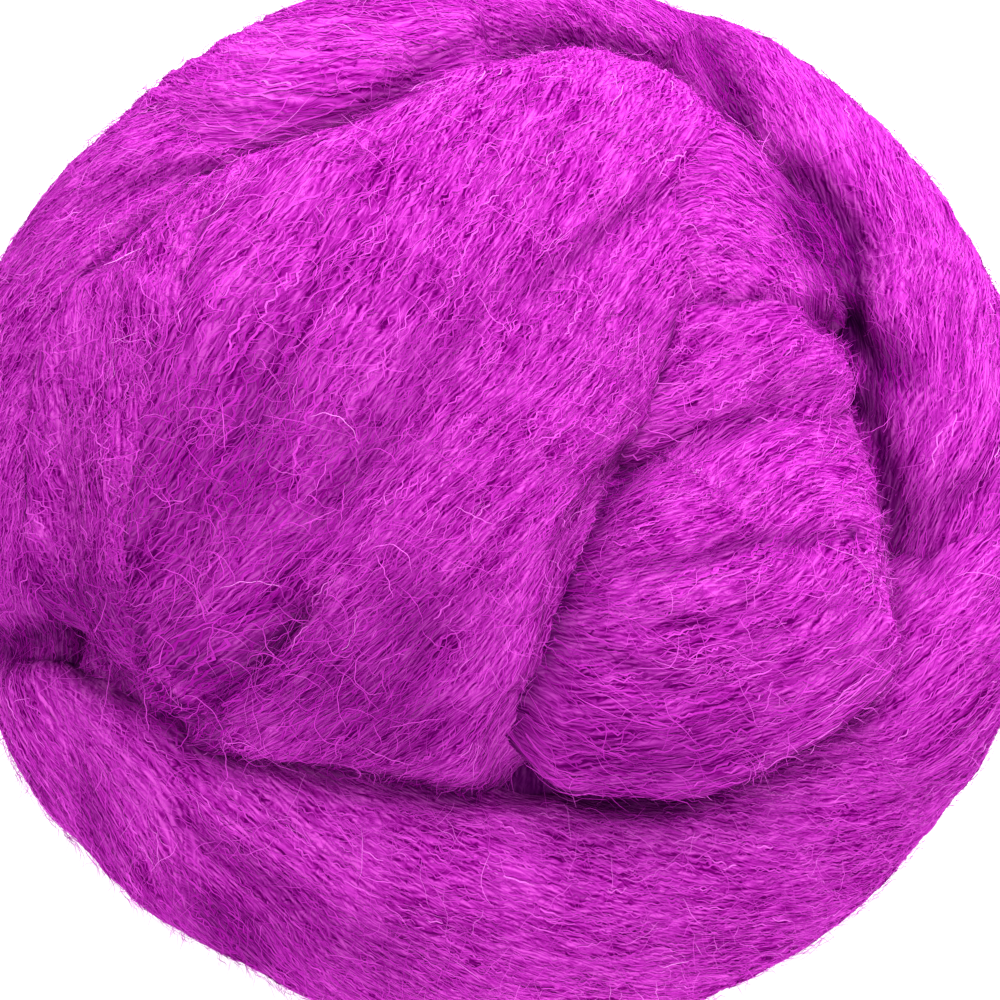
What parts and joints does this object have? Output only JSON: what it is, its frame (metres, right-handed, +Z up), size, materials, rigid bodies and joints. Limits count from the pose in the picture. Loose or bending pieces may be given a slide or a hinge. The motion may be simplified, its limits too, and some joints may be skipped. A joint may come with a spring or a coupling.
{
  "type": "wool roving nest",
  "caption": "Length of combed, dyed wool roving wound on itself into a round nest, with ring turns outside and a broad turn over the top.",
  "frame": {"origin": "bottom centre of the nest's box, on the surface that it rests on", "axes": "+Z up through the middle of the nest; +Y away from the viewer, to the end where the broad top turn is narrowest; +X to the right, to the side where the top lobes show"},
  "size_m": [0.1404, 0.1386, 0.0887],
  "materials": {
    "dyed_wool": "matt combed wool fibre with a soft sheen and a fine crimp"
  },
  "bodies": {
    "root": {"roving_ball": "dyed_wool"}
  },
  "joints": []
}
